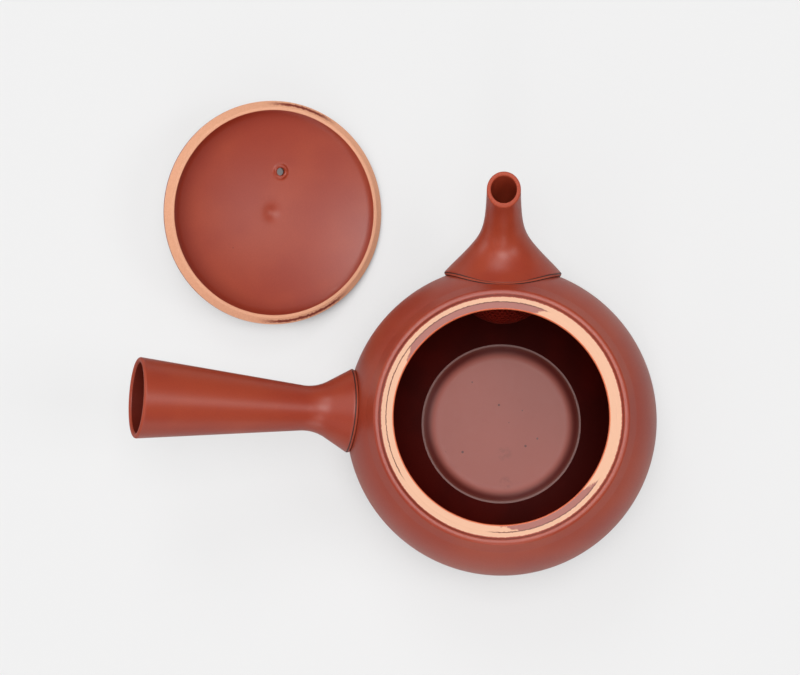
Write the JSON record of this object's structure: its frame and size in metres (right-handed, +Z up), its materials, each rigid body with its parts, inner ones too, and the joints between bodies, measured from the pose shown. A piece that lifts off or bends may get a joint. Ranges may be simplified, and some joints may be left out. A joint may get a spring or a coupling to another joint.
{
  "type": "side-handled teapot",
  "caption": "Unglazed red clay teapot with a side handle, a short spout with a pierced strainer behind it, and a loose domed lid lying upside down beside it.",
  "frame": {"origin": "middle of the flat base on which the pot stands", "axes": "+Z up along the pot's axis, +Y towards the spout, -X towards the handle"},
  "size_m": [0.1787, 0.1662, 0.0769],
  "materials": {
    "clay": "unglazed red clay, smooth satin",
    "dark_clay": "unglazed red clay, dark and rough",
    "slip": "dried clay slip, matt"
  },
  "bodies": {
    "pot": {"pot_body": "clay", "spout": "clay", "spout_slip_seam": "slip", "strainer": "dark_clay", "strainer_slip_seam": "slip", "handle": "clay", "handle_slip_seam": "slip"},
    "lid": {"lid": "clay", "lid_knob": "clay", "knob_slip_seam": "slip"}
  },
  "joints": [
    {"name": "lid_turn_over", "type": "hinge", "parent": "pot", "child": "lid", "pos_m": [-0.03761, 0.03407, 0.0308], "axis": [0.703, 0.7071, -0.0765], "range_deg": [0, 162.81]}
  ]
}
